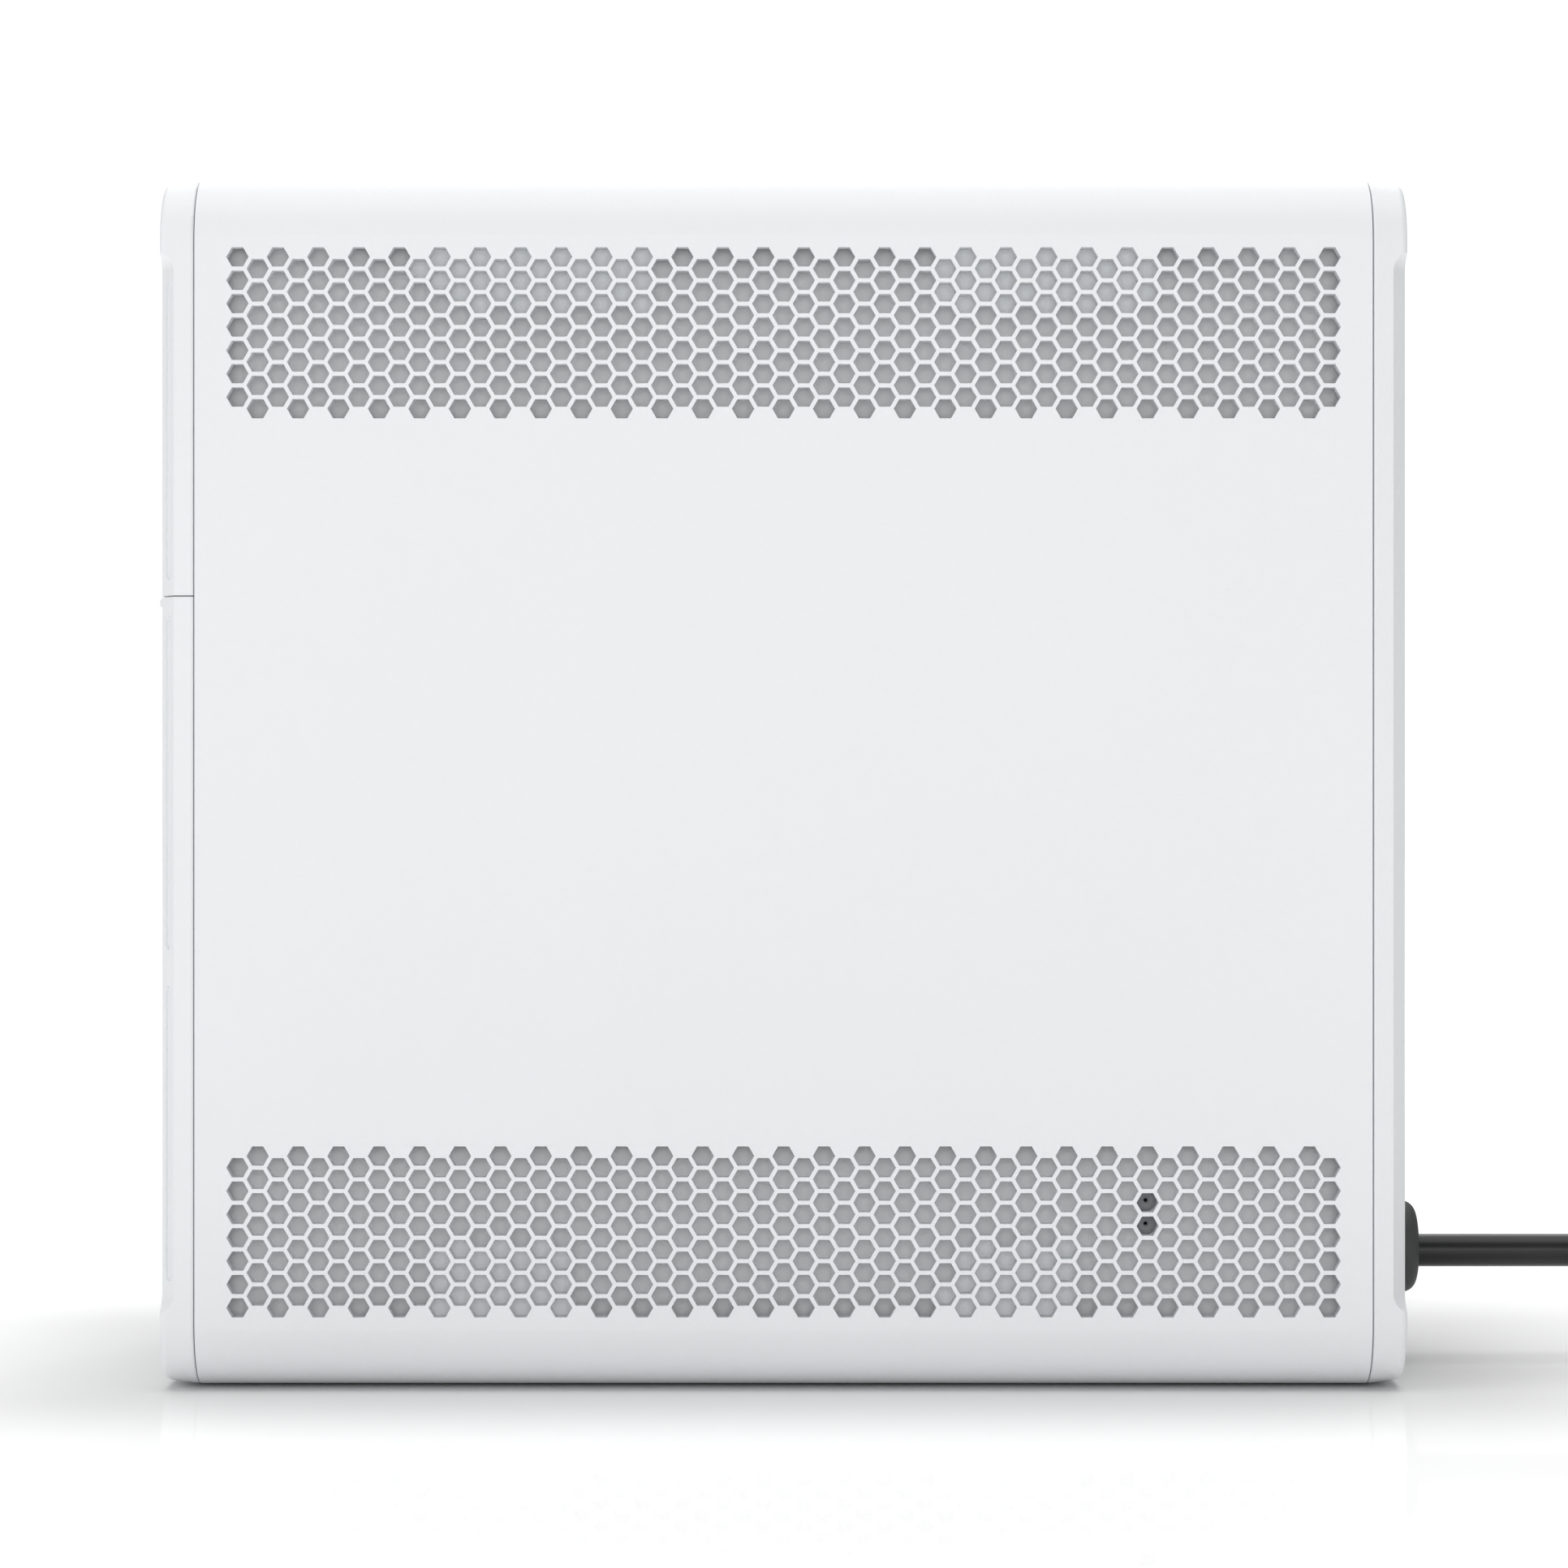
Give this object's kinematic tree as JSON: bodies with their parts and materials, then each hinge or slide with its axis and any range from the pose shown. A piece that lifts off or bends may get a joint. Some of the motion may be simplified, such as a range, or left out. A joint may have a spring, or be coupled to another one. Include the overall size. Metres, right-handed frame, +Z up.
{
  "type": "wireless router",
  "caption": "Upright tower router with honeycomb vents in both sides, a pull-off front cover over a backup battery, rear network sockets and a fixed mains cord.",
  "frame": {"origin": "on the surface the feet stand on, under the middle of the body, the free cord left out", "axes": "+Z up, -X towards the front cover, +X towards the sockets, -Y and +Y towards the two vented sides"},
  "size_m": [0.499, 0.1531, 0.2706],
  "materials": {
    "casing": "fine spark-textured white moulding",
    "baffle": "light grey screen",
    "foot_rubber": "soft matt rubber",
    "inner_plastic": "matt dark moulding",
    "smoked_window": "smoked glossy window",
    "clear_guide": "clear light guide",
    "board_green": "green solder mask",
    "black_plastic": "black moulding",
    "button_plastic": "satin white moulding",
    "plated_steel": "zinc-plated sheet",
    "bright_metal": "nickel-plated",
    "battery_case": "matt battery case",
    "brass": "bright contact metal",
    "pull_strap": "woven strap",
    "jack_shield": "tinned shield",
    "chip_black": "moulded chip",
    "heat_sink_metal": "anodised extrusion",
    "transformer_core": "varnished core",
    "capacitor_sleeve": "shrink sleeve",
    "terminal_green": "terminal block",
    "lead_insulation": "soft insulation",
    "antenna_board": "bare laminate with copper",
    "panel_paint": "powder-coated sheet",
    "cord_rubber": "moulded rubber bush",
    "cord_jacket": "matt cord jacket",
    "plug_rubber": "moulded plug"
  },
  "bodies": {
    "case": {"outer_sleeve": "casing", "front_bezel_upper": "casing", "rear_bezel": "casing", "rubber_feet": "foot_rubber", "near_upper_baffle": "baffle", "near_lower_baffle": "baffle", "far_upper_baffle": "baffle", "far_lower_baffle": "baffle", "keeper_plates": "plated_steel", "front_frame": "inner_plastic", "status_window": "smoked_window", "light_guide": "clear_guide", "front_board": "board_green", "push_switches": "black_plastic", "chassis_frame": "plated_steel", "battery_bay": "plated_steel", "bay_connector": "black_plastic", "main_board": "board_green", "board_standoffs": "brass", "inner_screws": "plated_steel", "lan_jacks": "jack_shield", "wan_jack": "jack_shield", "jack_contacts": "brass", "usb_port": "jack_shield", "board_chips": "chip_black", "heat_sinks": "heat_sink_metal", "power_board": "board_green", "transformer": "transformer_core", "smoothing_capacitors": "capacitor_sleeve", "terminal_block": "terminal_green", "inner_leads": "lead_insulation", "front_cable": "lead_insulation", "antenna_tray": "inner_plastic", "antenna_front_near": "antenna_board", "antenna_front_far": "antenna_board", "antenna_rear_near": "antenna_board", "antenna_rear_far": "antenna_board", "radio_board": "board_green", "radio_shield": "jack_shield", "antenna_leads": "lead_insulation", "rear_panel": "panel_paint", "panel_blocks": "inner_plastic", "rear_screws": "plated_steel", "fan_frame": "black_plastic", "rocker_housing": "black_plastic", "strain_relief": "cord_rubber", "mains_cord": "cord_jacket", "cord_coil": "cord_jacket", "cord_tail": "cord_jacket", "mains_plug": "plug_rubber", "plug_pins": "brass"},
    "lower_cover": {"front_cover_lower": "casing", "cover_magnets": "bright_metal"},
    "battery": {"battery_block": "battery_case", "battery_terminals": "brass", "battery_pull_tab": "pull_strap"},
    "power_button": {"power_button": "button_plastic"},
    "reset_button": {"reset_button": "black_plastic"},
    "power_rocker": {"power_rocker": "black_plastic"},
    "fan_rotor": {"fan_rotor": "black_plastic"}
  },
  "joints": [
    {"name": "cover_pull", "type": "slide", "parent": "case", "child": "lower_cover", "axis": [-1, 0, 0], "range_m": [0, 0.16]},
    {"name": "battery_slide", "type": "slide", "parent": "case", "child": "battery", "axis": [-1, 0, 0], "range_m": [0, 0.08]},
    {"name": "power_button_press", "type": "slide", "parent": "case", "child": "power_button", "axis": [1, 0, 0], "range_m": [0, 0.0012], "stiffness_N_per_m": 1500, "springref_m": -0.0008},
    {"name": "reset_press", "type": "slide", "parent": "case", "child": "reset_button", "axis": [-1, 0, 0], "range_m": [0, 0.0008], "stiffness_N_per_m": 1500, "springref_m": -0.0008},
    {"name": "rocker_tilt", "type": "hinge", "parent": "case", "child": "power_rocker", "pos_m": [0.1349, -0.03, 0.06], "axis": [0, 1, 0], "range_deg": [-20, 0]},
    {"name": "fan_spin", "type": "hinge", "parent": "case", "child": "fan_rotor", "pos_m": [0.122, -0.018, 0.196], "axis": [1, 0, 0], "continuous": true}
  ],
  "couplings": [
    {"joint": "battery_slide", "follows": "cover_pull", "ratio": 0.5}
  ]
}
